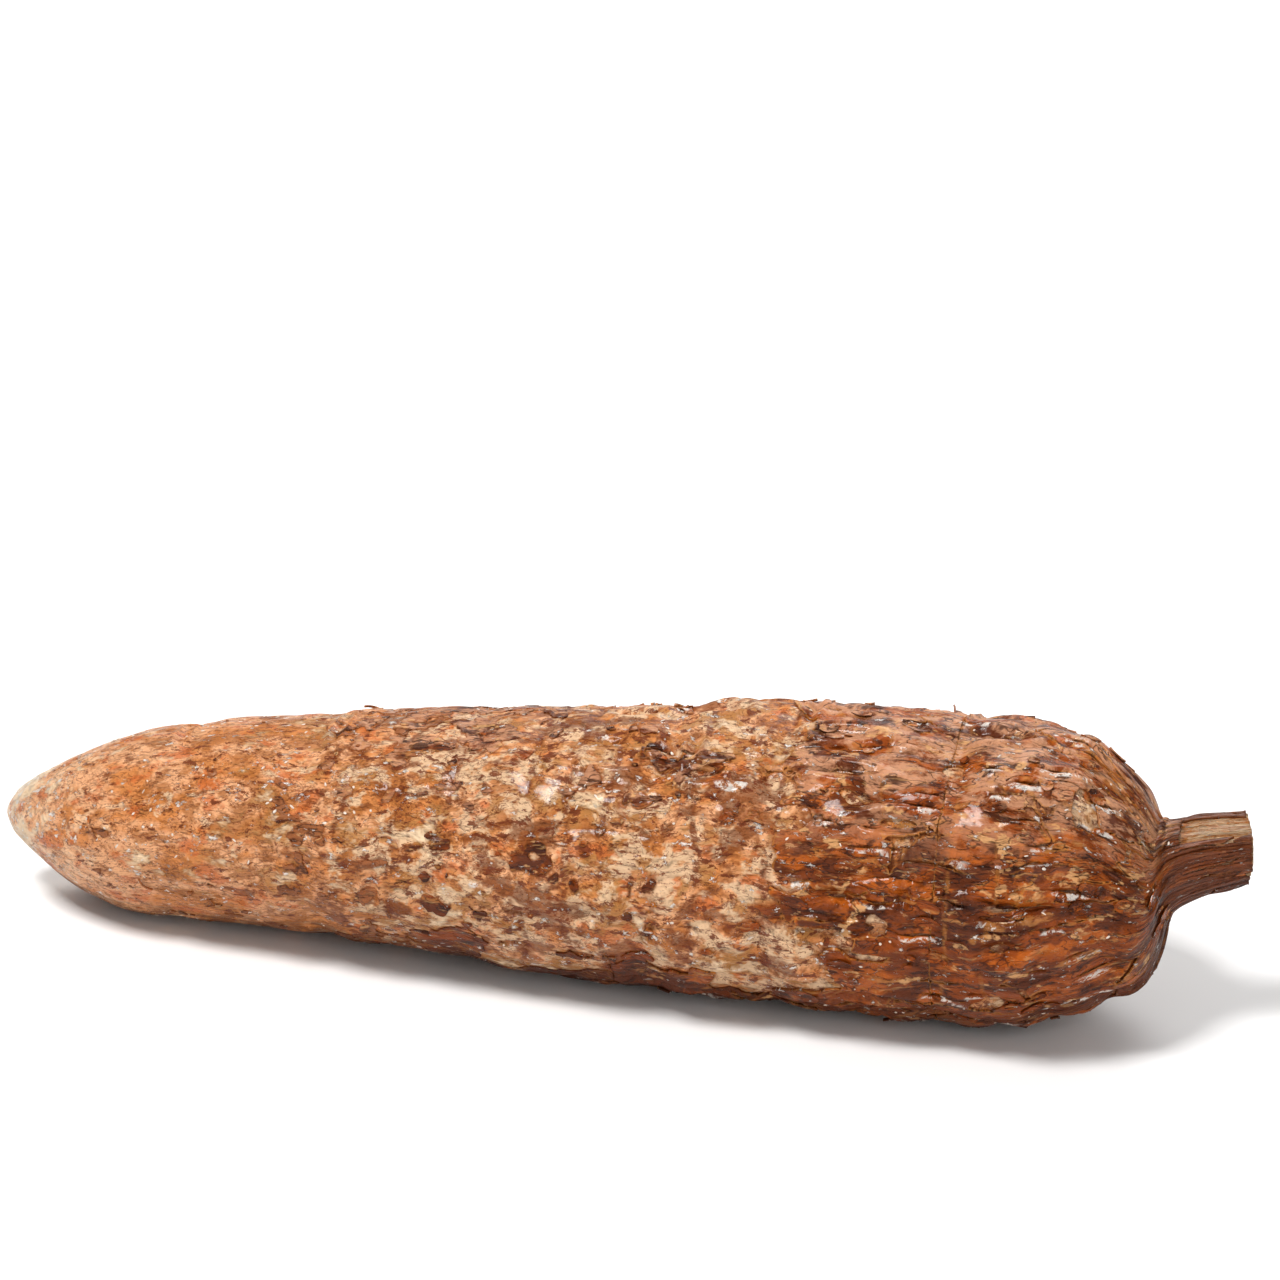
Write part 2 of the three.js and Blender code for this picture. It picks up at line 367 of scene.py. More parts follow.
def bark_field(along, angle, cover):
    """Above 0 where the cork bark still holds: specks at the tip, flakes on the body, plates over the shoulder."""
    radius = spindle_radius(along)
    far = along + 1.8 * noise(along, angle, 9, 14, 61) + 0.7 * noise(along, angle, 3, 47, 62)
    bent = angle + (1.3 * noise(along, angle, 7, 21, 67) + 0.7 * noise(along, angle, 2.6, 48, 68)) / GIRTH
    ragged = along + 8 * noise(along, angle, 30, 7, 70) + 5 * noise(along, angle, 12, 15, 69)
    hold = np.interp(ragged, *np.array(BARK_HOLD).T)
    under = rise(-np.sin(angle), 0.38, 0.68) * rise(along, 95, 135)
    hold = hold + (0.24 + 0.4 * rise(along, 165, 190)) * under + 0.14 * noise(along, angle, 34, 5, 71) + cover
    flakes = layered(far, bent, 5.8, 4.2, 3, 73)
    streaks = layered(far, bent, 22, 5.6, 3, 79)
    long = np.maximum(rise(along, 140, 225), 0.7 * under)
    field = hold + (1 - long) * flakes + long * streaks
    cracks = crack_distance(far, bent, 26, 30, 83) - 0.02 - 0.11 * noise(along, angle, 9, 24, 85)
    field = np.where(long > 0.3, np.minimum(field, 0.9 * cracks + 0.6 * (1 - long)), field)
    for place in split_places():
        d = lens_distance(along, angle, radius, place)
        field = np.minimum(field, (d - 0.1 - 0.3 * streaks) * 0.8)
    for at, turned, half_length, half_width in PEELS:
        place = (np.interp(at, SPINDLE[:, 0], SPINDLE_ALONG), turned, half_length, half_width)
        field = np.minimum(field, (lens_distance(far, bent, radius, place) - 1 - 0.4 * flakes) * 0.6)
    inside, _ = fissures(along, angle)
    field = np.minimum(field, 0.1 - 0.5 * inside)
    return np.minimum(field, 0.35 - torn_strip(along, angle) + 0.25 * streaks)


# ---- mesh building ----
def new_object(name, data):
    """Adds an object to the scene."""
    item = bpy.data.objects.new(name, data)
    bpy.context.scene.collection.objects.link(item)
    return item


def make_piece(name, points, faces, values=None):
    """A smooth mesh object from points in mm, faces, and named values for each point."""
    mesh = bpy.data.meshes.new(name)
    mesh.from_pydata((np.asarray(points) * MM).tolist(), [], faces)
    for key, array in (values or {}).items():
        array = np.asarray(array, np.float32)
        kind, slot = ("FLOAT_VECTOR", "vector") if array.ndim == 2 else ("FLOAT", "value")
        mesh.attributes.new(key, kind, "POINT").data.foreach_set(slot, array.ravel())
    mesh.polygons.foreach_set("use_smooth", [True] * len(mesh.polygons))
    mesh.update()
    return new_object(name, mesh)


def dress(piece, *materials):
    """Gives a piece its materials and the body that it rides on."""
    for material in materials:
        piece.data.materials.append(material)
    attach(piece, "root")


def skin_coordinates(along, angle):
    """Where a point is on the skin, in metres, laid on a straight blunt rod so that no pattern has a seam."""
    on_tip = np.minimum(spindle_radius(along) / TIP_GIRTH, 1)
    girth = GIRTH * np.where(along < SKIN_LENGTH / 2, on_tip, 1)
    return np.stack([along, girth * np.cos(angle), girth * np.sin(angle)], axis=-1) * MM


def grid_triangles(rings, segments):
    i, j = np.meshgrid(np.arange(rings - 1), np.arange(segments), indexing="ij")
    a = i * segments + j
    b = i * segments + (j + 1) % segments
    c, d = a + segments, b + segments
    even = ((i + j) % 2 == 0)[..., None]
    one = np.where(even, np.stack([a, b, d], -1), np.stack([a, b, c], -1))
    two = np.where(even, np.stack([a, d, c], -1), np.stack([b, d, c], -1))
    return np.concatenate([one.reshape(-1, 3), two.reshape(-1, 3)])


def tube_faces(rings, segments):
    """Faces of a tube of rings with a point at each end. Its points are one end, the rings, and the other end."""
    ring = 1 + np.arange(rings * segments).reshape(rings, segments)
    after = np.roll(ring, -1, axis=1)
    start = np.stack([np.zeros(segments, int), after[0], ring[0]], -1)
    body = np.stack([ring[:-1], after[:-1], after[1:], ring[1:]], -1).reshape(-1, 4)
    end = np.stack([ring[-1], after[-1], np.full(segments, 1 + rings * segments)], -1)
    return start.tolist() + body.tolist() + end.tolist()


def cut_face(edge, angle):
    """The rough cut across the neck: points of its rings and its middle, and where they lie in the wood's grain."""
    centre = edge.mean(0)
    rings, grain = [], []
    for k in range(1, CUT_RINGS + 1):
        share = 1 - k / (CUT_RINGS + 1)
        rough = 0.45 * noise(60 * share + 300, angle, 6, 11, 101) + 0.3 * noise(90 * share, angle, 4, 19, 103)
        ring = centre + (edge - centre) * share
        ring[:, 0] += rough * math.sin(math.pi * share) - CUT_HOLLOW * (1 - share) ** 2
        rings.append(ring)
        grain.append(np.stack([0 * angle, share * np.cos(angle), share * np.sin(angle)], -1))
    rings.append(centre[None] - [[CUT_HOLLOW, 0, 0]])
    grain.append(np.zeros((1, 3)))
    return np.concatenate(rings), (CUT_GRAIN_START + CUT_GRAIN_RADIUS * np.concatenate(grain)) * MM


def with_cut(grid, cut):
    """A value of the skin's grid, once for the tip where its first ring closes, followed by that of the cut."""
    return np.concatenate([grid[0, :1], *grid[1:], cut])


def cut_out(field, triangles):
    """Keeps the part of a triangle mesh where field is above 0.

    Returns the kept triangles, the edges of their rim, and for each new point the two points it lies between and
    its share of the way. New points are numbered after the old ones.
    """
    inside = field[triangles] > 0
    count = inside.sum(1)
    whole = triangles[count == 3]

    def turned(wanted, state):
        chosen = triangles[count == wanted]
        first = np.argmax(inside[count == wanted] == state, axis=1)
        return np.take_along_axis(chosen, (first[:, None] + np.arange(3)) % 3, axis=1)

    one, two = turned(1, True), turned(2, False)
    edges = np.concatenate([one[:, [0, 1]], one[:, [0, 2]], two[:, [0, 1]], two[:, [0, 2]]])
    pairs, number = np.unique(np.sort(edges, axis=1), axis=0, return_inverse=True)
    number = number.reshape(-1) + len(field)
    n, m = len(one), len(two)
    a, b, c, d = number[:n], number[n : 2 * n], number[2 * n : 2 * n + m], number[2 * n + m :]
    corners = (one[:, 0], a, b), (c, two[:, 1], two[:, 2]), (c, two[:, 2], d)
    kept = np.concatenate([whole, *(np.stack(three, 1) for three in corners)])
    rim = np.concatenate([np.stack([a, b], 1), np.stack([d, c], 1)])
    low, high = field[pairs[:, 0]], field[pairs[:, 1]]
    return kept, rim, pairs, low / (low - high)


def bark_sheet(along, angle, bark):
    """The cork on a grid of the skin: its field, how strongly its edges curl, and its thickness in mm."""
    field = bark_field(along, angle, bark.cover)
    strength = rise(along, 120, 225)
    curl = np.clip(noise(along, angle, 8, 34, 91) + 0.15, 0, 1) * (0.15 + 0.85 * strength)
    thick = bark.thickness / MM * (0.45 + 0.55 * strength) * (1 + 0.35 * layered(along, angle, 9, 2, 2, 97))
    return field, curl, thick


def bark_shell(name, start, end, bark):
    """One closed sheet of cork bark with ragged holes, thin, lifted and curled along its torn edges."""
    along, angle = skin_grid(start, end, BARK_STEP, BARK_SEGMENTS)
    points = skin(along, angle)
    normals = grid_normals(points)
    field, curl, thick = bark_sheet(along, angle, bark)
    # No bark on the first and the last ring, so that the sheet closes before them.
    field[[0, -1]] = np.minimum(field[[0, -1]], -0.02)
    _, lips = fissures(along, angle)
    ringed = ring_lines(along, angle)
    layers = (points, normals, skin_coordinates(along, angle), np.sin(angle), lips, ringed, curl, thick, field)
    layers = [layer.reshape(field.size, -1) for layer in layers]
    ends = np.cumsum([layer.shape[1] for layer in layers])[:-1]
    data = np.concatenate(layers, axis=1)

    kept, rim, pairs, share = cut_out(field.ravel(), grid_triangles(*field.shape))
    middle = data[pairs[:, 0]] + (data[pairs[:, 1]] - data[pairs[:, 0]]) * share[:, None]
    middle[:, -1] = 0
    data = np.concatenate([data, middle])
    used, faces = np.unique(kept, return_inverse=True)
    data, faces = data[used], faces.reshape(-1, 3)
    rim = np.searchsorted(used, rim)
    total = len(used)

    place, out, where, up, lips, ringed, curl, thick, field = np.split(data, ends, axis=1)
    near_edge = np.exp(-np.maximum(field, 0) / EDGE_WIDTH)
    lift = bark.lift / MM * curl * near_edge
    top = place + out * (thick + lift)
    under = place + out * (lift * 0.9 - SUNK)
    walls = np.stack([rim[:, 1], rim[:, 0], rim[:, 0] + total, rim[:, 1] + total], 1)
    faces = faces.tolist() + (faces[:, ::-1] + total).tolist() + walls.tolist()
    values = {"edge": near_edge, "up": up, "lips": lips, "ringed": ringed}
    values = {key: np.tile(value.ravel(), 2) for key, value in values.items()}
    values["bark_coord"] = np.tile(where, (2, 1))
    return make_piece(name, rest(np.concatenate([top, under]), BARK_FLOOR), faces, values)


def outer_skin(bark):
    """The outside of rind and bark as one open mesh, for small things to be scattered on."""
    along, angle = skin_grid(*OUTER_STRETCH, OUTER_STEP, OUTER_SEGMENTS)
    points = skin(along, angle)
    field, _, thick = bark_sheet(along, angle, bark)
    covered = field > 0
    points += grid_normals(points) * (thick * covered)[..., None]
    ahead = np.gradient(points, axis=0)
    ahead /= np.linalg.norm(ahead, axis=-1, keepdims=True)
    _, lips = fissures(along, angle)
    off_floor = rest(points.copy())[..., 2] > CLEAR_OF_FLOOR
    clumps = rise(layered(along, angle, 22, 14, 2, 111), 0.0, 0.45)
    on_neck = rise(along, NECK_SKIN - 3, NECK_SKIN + 3)
    old = covered * rise(along, 120, 235)
    values = {
        "up": np.sin(angle),
        "scaly": off_floor * old * (0.25 + 0.75 * clumps) * (1 - 0.7 * on_neck),
        "waxy": off_floor * (0.04 + 1.3 * clumps**3 + 1.2 * (lips > 0.3)) * (1 - 0.8 * on_neck),
        "rooty": off_floor * (1 - on_neck),
    }
    values = {key: value.ravel() for key, value in values.items()}
    values["lengthwise"] = ahead.reshape(-1, 3)
    return make_piece("outer_skin", rest(points).reshape(-1, 3), grid_triangles(*along.shape).tolist(), values)


# ---- nodes ----
def linear(code):
    """An sRGB hex colour as linear red, green, blue and alpha."""
    parts = [int(code[k : k + 2], 16) / 255 for k in (1, 3, 5)]
    return tuple(c / 12.92 if c <= 0.04045 else ((c + 0.055) / 1.055) ** 2.4 for c in parts) + (1.0,)


def add(tree, kind, inputs=None, **settings):
    """Adds a node with its settings; an input that is a node or a socket is linked, and any other is set."""
    node = tree.nodes.new(kind)
    for key, value in settings.items():
        setattr(node, key, value)
    for key, value in (inputs or {}).items():
        if isinstance(key, int):
            socket = node.inputs[key]
        else:
            socket = next(s for s in node.inputs if s.enabled and key in (s.name, s.identifier))
        if isinstance(value, bpy.types.Node):
            value = next(s for s in value.outputs if s.enabled)
        if isinstance(value, bpy.types.NodeSocket):
            tree.links.new(value, socket)
        else:
            socket.default_value = value
    return node


def new_material(name):
    """A material without nodes, and its node tree."""
    material = bpy.data.materials.new(name)
    material.use_nodes = True
    material.node_tree.nodes.clear()
    return material, material.node_tree


# Noise on the skin in cells of a real length and width, in mm. A folded one is 0 along fine winding lines.
Pattern = namedtuple("Pattern", "length width detail rough folded", defaults=(False,))

# A colour laid over those below it where its pattern passes from one level to another. along gives two places in
# mm with what is added to the pattern there; beside names a value of the mesh and two levels, between which the
# coat comes in.
Coat = namedtuple("Coat", "colour pattern start full most along beside", defaults=(1.0, None, None))

STIR_CELL = 9 * MM  # size of the slow noise that bends every pattern
STIR_REACH = (4 * MM, 3 * MM, 3 * MM)  # how far it bends them
DULL_LEVELS = (0.38, 0.62)  # levels of a pattern between which roughness passes from low to high


def skin_material(name, base, patterns, coats, reliefs, dull, waxed):
    """A material in coats of colour on the skin.

    patterns holds rows of Pattern by name, and coats is a list of rows of Coat. reliefs gives the depth in mm of a
    pattern or, by its place in the list, of a coat. dull names the pattern that roughness follows and its roughness
    at a low and a high level; waxed is the roughness of the last coat.
    """
    material, tree = new_material(name)
    where = add(tree, "ShaderNodeAttribute", attribute_name="bark_coord").outputs["Vector"]
    along = add(tree, "ShaderNodeSeparateXYZ", {0: where}).outputs["X"]
    stirred = add(tree, "ShaderNodeTexNoise", {"Vector": where, "Scale": 1 / STIR_CELL, "Detail": 2.0})
    bent = add(
        tree, "ShaderNodeVectorMath", {0: stirred.outputs["Color"], 1: STIR_REACH, 2: where}, operation="MULTIPLY_ADD"
    )

    heights = {}
    for key, row in patterns.items():
        pattern = Pattern(*row)
        cells = (1 / (pattern.length * MM), 1 / (pattern.width * MM), 1 / (pattern.width * MM))
        place = (7.3 * len(heights) + 3.1, 5.9 * len(heights) + 1.7, 0)
        placed = add(tree, "ShaderNodeMapping", {"Vector": bent, "Location": place, "Scale": cells})
        inputs = {"Vector": placed, "Scale": 1.0, "Detail": pattern.detail, "Roughness": pattern.rough}
        height = add(tree, "ShaderNodeTexNoise", inputs).outputs["Fac"]
        if pattern.folded:
            height = add(tree, "ShaderNodeMath", {0: height, 1: 0.5}, operation="SUBTRACT")
            height = add(tree, "ShaderNodeMath", {0: height}, operation="ABSOLUTE")
        heights[key] = height

    colour = base
    for number, row in enumerate(coats):
        coat = Coat(*row)
        level = heights[coat.pattern]
        if coat.along:
            (start, at_start), (end, at_end) = coat.along
            lean = add(tree, "ShaderNodeMapRange", {0: along, 1: start * MM, 2: end * MM, 3: at_start, 4: at_end})
            level = add(tree, "ShaderNodeMath", {0: level, 1: lean}, operation="ADD")
        inputs = {0: level, 1: coat.start, 2: coat.full, 3: 0.0, 4: coat.most}
        share = add(tree, "ShaderNodeMapRange", inputs, interpolation_type="SMOOTHSTEP")
        if coat.beside:
            key, low, high = coat.beside
            value = add(tree, "ShaderNodeAttribute", attribute_name=key).outputs["Fac"]
            near = add(tree, "ShaderNodeMapRange", {0: value, 1: low, 2: high}, interpolation_type="SMOOTHSTEP")
            share = add(tree, "ShaderNodeMath", {0: share, 1: near}, operation="MULTIPLY")
        heights[number] = share
        inputs = {"Factor": share, "A": colour, "B": linear(coat.colour)}
        colour = add(tree, "ShaderNodeMix", inputs, data_type="RGBA").outputs[2]

    key, low, high = dull
    rough = add(tree, "ShaderNodeMapRange", {0: heights[key], 1: DULL_LEVELS[0], 2: DULL_LEVELS[1], 3: low, 4: high})
    wet = add(tree, "ShaderNodeMix", {0: heights[len(coats) - 1], 2: rough, 3: waxed})
    normal = None
    for key, depth in reliefs:
        inputs = {"Height": heights[key], "Strength": 1.0, "Distance": depth * MM}
        if normal:
            inputs["Normal"] = normal
        normal = add(tree, "ShaderNodeBump", inputs).outputs["Normal"]
    inputs = {
        "Base Color": colour, "Roughness": wet.outputs[0], "Normal": normal, "IOR": 1.45,
        "Specular IOR Level": 0.14, "Coat Weight": 0.2, "Coat Roughness": 0.1,
    }
    surface = add(tree, "ShaderNodeBsdfPrincipled", inputs)
    add(tree, "ShaderNodeOutputMaterial", {"Surface": surface.outputs[0]})
    return material


def rind_material(colours):
    """Cassava rind, the dry inner skin left where the cork has flaked off: peach to ochre and finely wrinkled."""
    patterns = {
        "patches": (15, 10, 3, 0.6),
        "stains": (14, 9, 4, 0.65),
        "orange": (9, 7, 4, 0.65),
        "mottle": (6.4, 4.6, 4, 0.62),
        "grain": (3.0, 1.2, 4, 0.7),
        "creases": (7, 3.0, 4, 0.65, True),
        "specks": (4.0, 1.8, 5, 0.7),
        "pits": (1.5, 1.1, 2, 0.6),
        "pebbles": (3.4, 2.6, 1.5, 0.5),
        "wax": (3.2, 2.2, 5, 0.75),
    }
    coats = [
        ("#EAAE80", "patches", 0.42, 0.58, 0.85, ((20, 0.06), (80, 0.0))),
        ("#A05C24", "orange", 0.48, 0.4, 0.7, ((34, 0.1), (72, -0.04))),
        ("#A8743E", "stains", 0.5, 0.6, 0.75, ((50, -0.08), (150, 0.03))),
        ("#C46028", "orange", 0.5, 0.6, 0.7, ((0, 0.0), (150, -0.05))),
        ("#DEBA94", "mottle", 0.5, 0.6, 0.85, ((84, -0.1), (118, 0.03))),
        ("#F0BE92", "mottle", 0.5, 0.6, 0.8, ((34, 0.02), (60, -0.25))),
        ("#8E4A1E", "grain", 0.44, 0.36, 0.6),
        ("#6E300E", "grain", 0.43, 0.56, 0.85, None, ("ringed", 0.12, 0.5)),
        # Dark lines at the bottoms of the creases: dark wrinkles of the rind, deepened with painted shade.
        ("#6A2E0E", "creases", 0.02, 0.004, 0.7),
        ("#965022", "patches", 0.3, 0.55, 0.85, None, ("bare", -0.12, 0.0)),
        ("#74360C", "stains", 0.45, 0.38, 0.75, ((62, 0.08), (104, -0.02))),
        ("#6A2C0E", "specks", 0.59, 0.615, 0.9, ((10, -0.02), (120, 0.03))),
        ("#3E1606", "pits", 0.31, 0.25, 0.7),
        # Painted shade: the rind turns darker towards its underside, where less light reaches.
        ("#5E2E0C", "mottle", 0.36, 0.52, 0.85, None, ("up", -0.55, -0.95)),
        ("#F0D2AC", "stains", 0.49, 0.6, 0.85, ((6, 0.08), (36, -0.12))),
        ("#CC7A38", "grain", 0.35, 0.6, 0.8, ((NECK_SKIN - 2, -0.6), (NECK_SKIN + 5, 0.1))),
        ("#EBCBA2", "creases", 0.02, 0.06, 0.75, ((NECK_SKIN - 2, -0.6), (NECK_SKIN + 5, 0.0))),
        # Wax on the fissure lips, whitened as painted glints where the lips would catch the light.
        ("#E4DAD0", "wax", 0.5, 0.55, 0.85, None, ("lips", 0.3, 0.5)),
        # Last coat: white spots, partly real wax and partly painted glints; it also lowers the roughness there.
        ("#F2EAE2", "wax", 0.61, 0.65, 0.8, ((10, 0.08), (34, 0.0))),
    ]
    reliefs = [("creases", 1.3), ("pebbles", 2.6), ("mottle", 1.2), ("grain", 0.5), ("specks", 0.8), (18, 0.3)]
    return skin_material("cassava_rind", colours.rind, patterns, coats, reliefs, ("mottle", 0.55, 0.38), 0.25)


def cork_material(colours):
    """Cassava cork, the papery outer bark: chocolate to rust brown and scaly; pinkish grey on top, partly weathered,
    partly painted sheen.
    """
    patterns = {
        "patches": (22, 10, 3, 0.6),
        "zones": (12, 6, 4, 0.65),
        "bleached_and_sheen": (9, 4.5, 5, 0.68),
        "streaks": (10, 2.6, 4, 0.62),
        "folds": (15, 4.2, 3, 0.6, True),
        "scales": (6, 2.8, 5, 0.7),
        "peeled": (8, 4.2, 4, 0.6),
        "fibres": (9, 1.0, 3, 0.6),
        "pits": (1.9, 1.2, 2, 0.6),
        "ridges": (9, 2.8, 1.5, 0.5),
        "wax": (3, 1.3, 5, 0.75),
    }
    coats = [
        ("#8C3E06", "patches", 0.42, 0.58, 0.95, ((150, -0.07), (222, 0.0))),
        ("#AC5412", "zones", 0.51, 0.61, 0.85, ((150, -0.05), (222, 0.0))),
        ("#9A5C34", "zones", 0.42, 0.56, 0.8, ((116, 0.08), (138, -0.3))),
        # Pinkish grey on the upper side: partly weathered cork, partly painted sheen where the top catches the light.
        ("#C48C68", "bleached_and_sheen", 0.44, 0.56, 0.85, None, ("up", 0.35, 0.9)),
        ("#361200", "streaks", 0.43, 0.37, 0.85),
        ("#B87A40", "streaks", 0.58, 0.65, 0.5),
        # Pale scales that thin out towards the underside: real scales, with the top made lighter as painted sheen.
        ("#D09A68", "scales", 0.62, 0.65, 0.55, None, ("up", -0.6, 0.5)),
        ("#B87634", "zones", 0.35, 0.55, 0.6, ((140, -0.2), (205, 0.0)), ("edge", 0.6, 0.95)),
        ("#D29C66", "peeled", 0.6, 0.65, 0.8),
        # Near black lines at the bottoms of the folds: dark cracks in the cork, deepened with painted shade.
        ("#2A0C02", "folds", 0.014, 0.004, 0.75),
        ("#CC9860", "fibres", 0.63, 0.68, 0.35),
        ("#B87436", "peeled", 0.38, 0.58, 0.5, None, ("ringed", 0.25, 0.85)),
        ("#2A0C02", "pits", 0.32, 0.26, 0.7),
        ("#6A3416", "patches", 0.3, 0.6, 0.8, ((NECK_SKIN - 8, -0.6), (NECK_SKIN + 4, 0.15))),
        # Painted shade: the cork turns darker towards its underside, where less light reaches.
        ("#441C08", "patches", 0.3, 0.58, 0.8, None, ("up", -0.5, -0.9)),
        # Wax on the fissure lips, whitened as painted glints where the lips would catch the light.
        ("#DCD2C8", "wax", 0.49, 0.54, 0.85, None, ("lips", 0.34, 0.52)),
        # Last coat: white spots, partly real wax and partly painted glints; it also lowers the roughness there.
        ("#E6DED6", "wax", 0.615, 0.65, 0.8),
    ]
    reliefs = [("folds", 2.0), ("ridges", 3.0), ("streaks", 1.5), ("scales", 1.2), ("pits", 0.4), (16, 0.3)]
    return skin_material("cassava_cork", colours.cork, patterns, coats, reliefs, ("zones", 0.55, 0.36), 0.25)


def wood_material():
    """Cassava neck wood, cut across: pale and fibrous, with brown vessels."""
    patterns = {"fibres": (1.5, 1.5, 5, 0.75), "vessels": (5, 5, 3, 0.6)}
    coats = [("#E6C6A2", "fibres", 0.4, 0.62), ("#94562E", "vessels", 0.48, 0.62, 0.75)]
    reliefs = [("fibres", 0.6)]
    return skin_material("cassava_neck_wood", linear("#C08A5C"), patterns, coats, reliefs, ("fibres", 0.7, 0.8), 0.8)


def wax_material():
    """Food wax that the root was dipped in, set in drops: white, cloudy and smooth."""
    material, tree = new_material("food_wax")
    where = add(tree, "ShaderNodeTexCoord").outputs["Object"]
    clouds = add(tree, "ShaderNodeTexNoise", {"Vector": where, "Scale": 1 / (1.2 * MM), "Detail": 3.0}).outputs["Fac"]
    inputs = {"Factor": clouds, "A": linear("#B99A7C"), "B": linear("#EFE6DC")}
    colour = add(tree, "ShaderNodeMix", inputs, data_type="RGBA").outputs[2]
    bump = add(tree, "ShaderNodeBump", {"Height": clouds, "Distance": 0.3 * MM}).outputs["Normal"]
    inputs = {"Base Color": colour, "Roughness": 0.35, "Normal": bump, "IOR": 1.44}
    surface = add(tree, "ShaderNodeBsdfPrincipled", inputs)
    add(tree, "ShaderNodeOutputMaterial", {"Surface": surface.outputs[0]})
    return material


def paper_material():
    """Matt white studio paper, lit through from below farther out, so that it stays white up to its edge."""
    material, tree = new_material("paper_sweep")
    place = add(tree, "ShaderNodeTexCoord").outputs["Object"]
    far = add(tree, "ShaderNodeVectorMath", {0: place}, operation="LENGTH").outputs["Value"]
    inputs = {
        "Base Color": linear("#F6F5F4"),
        "Roughness": 0.9,
        "Emission Color": (1, 1, 1, 1),
        "Emission Strength": add(tree, "ShaderNodeMapRange", {0: far, 1: 0.45, 2: 1.4, 3: 0.0, 4: 0.8}),
    }
    surface = add(tree, "ShaderNodeBsdfPrincipled", inputs)
    add(tree, "ShaderNodeOutputMaterial", {"Surface": surface.outputs[0]})
    return material


# ---- small things scattered on the skin ----
SCATTER_SIZES = ((0.45, 0.5, 0.5), (1.5, 1.4, 1.3))  # least and most of the usual size, along, across and up
SCALE_TURNS = ((-0.22, -0.16, -0.4), (0.22, 0.06, 0.4))  # least and most turn on the skin, in radians
DROP_TURNS = ((-0.3, -0.3, -1.2), (0.3, 0.3, 1.2))
ROOTLET_TURNS = ((-0.9, -0.35, -2.6), (0.9, 0.05, 2.6))


def scale(tree, given):
    """A thin plate that narrows to its ends and curls up all round."""
    size = add(tree, "ShaderNodeCombineXYZ", {0: given["Length"], 1: given["Width"], 2: given["Thickness"]})
    plate = add(tree, "GeometryNodeMeshCube", {"Size": size, "Vertices X": 5, "Vertices Y": 4, "Vertices Z": 2})
    place = add(tree, "ShaderNodeSeparateXYZ", {0: add(tree, "GeometryNodeInputPosition")})
    squares = []
    for axis, reach in ((0, "Length"), (1, "Width")):
        share = add(tree, "ShaderNodeMath", {0: place.outputs[axis], 1: given[reach]}, operation="DIVIDE")
        squares.append(add(tree, "ShaderNodeMath", {0: share, 1: share}, operation="MULTIPLY"))
    narrow = add(tree, "ShaderNodeMath", {0: squares[0], 1: -2.4, 2: 1.0}, operation="MULTIPLY_ADD")
    across = add(tree, "ShaderNodeMath", {0: place.outputs["Y"], 1: narrow}, operation="MULTIPLY")
    bend = add(tree, "ShaderNodeMath", {0: squares[0], 1: 0.5, 2: squares[1]}, operation="MULTIPLY_ADD")
    bend = add(tree, "ShaderNodeMath", {0: bend, 1: given["Curl"]}, operation="MULTIPLY")
    up = add(tree, "ShaderNodeMath", {0: bend, 1: 4.0, 2: place.outputs["Z"]}, operation="MULTIPLY_ADD")
    curled = add(tree, "ShaderNodeCombineXYZ", {0: place.outputs["X"], 1: across, 2: up})
    return add(tree, "GeometryNodeSetPosition", {"Geometry": plate.outputs["Mesh"], "Position": curled})


def drop(tree, given):
    """A drop of wax that ran a little and set."""
    ball = add(tree, "GeometryNodeMeshUVSphere", {"Segments": 8, "Rings": 5, "Radius": given["Radius"]})
    flat = add(tree, "GeometryNodeTransform", {"Geometry": ball.outputs["Mesh"], "Scale": (2.0, 1.0, 0.5)})
    return add(tree, "GeometryNodeSetShadeSmooth", {"Geometry": flat, "Shade Smooth": True})


def rootlet(tree, given):
    """A bent and tapered fibre that lies along the skin and lifts off it."""
    middle, end = (
        add(tree, "ShaderNodeVectorMath", {0: place, "Scale": given["Length"]}, operation="SCALE")
        for place in ((0.5, 0.12, 0.18), (1.0, -0.1, 0.12))
    )
    inputs = {"Resolution": 7, "Start": (0, 0, 0), "Middle": middle, "End": end}
    path = add(tree, "GeometryNodeCurveQuadraticBezier", inputs)
    far = add(tree, "GeometryNodeSplineParameter").outputs["Factor"]
    thin = add(tree, "ShaderNodeMath", {0: far, 1: -0.8, 2: 1.0}, operation="MULTIPLY_ADD")
    tapered = add(tree, "GeometryNodeSetCurveRadius", {"Curve": path, "Radius": thin})
    ring = add(tree, "GeometryNodeCurvePrimitiveCircle", {"Resolution": 6, "Radius": given["Radius"]})
    inputs = {"Curve": tapered, "Profile Curve": ring.outputs["Curve"], "Fill Caps": True}
    return add(tree, "GeometryNodeCurveToMesh", inputs)


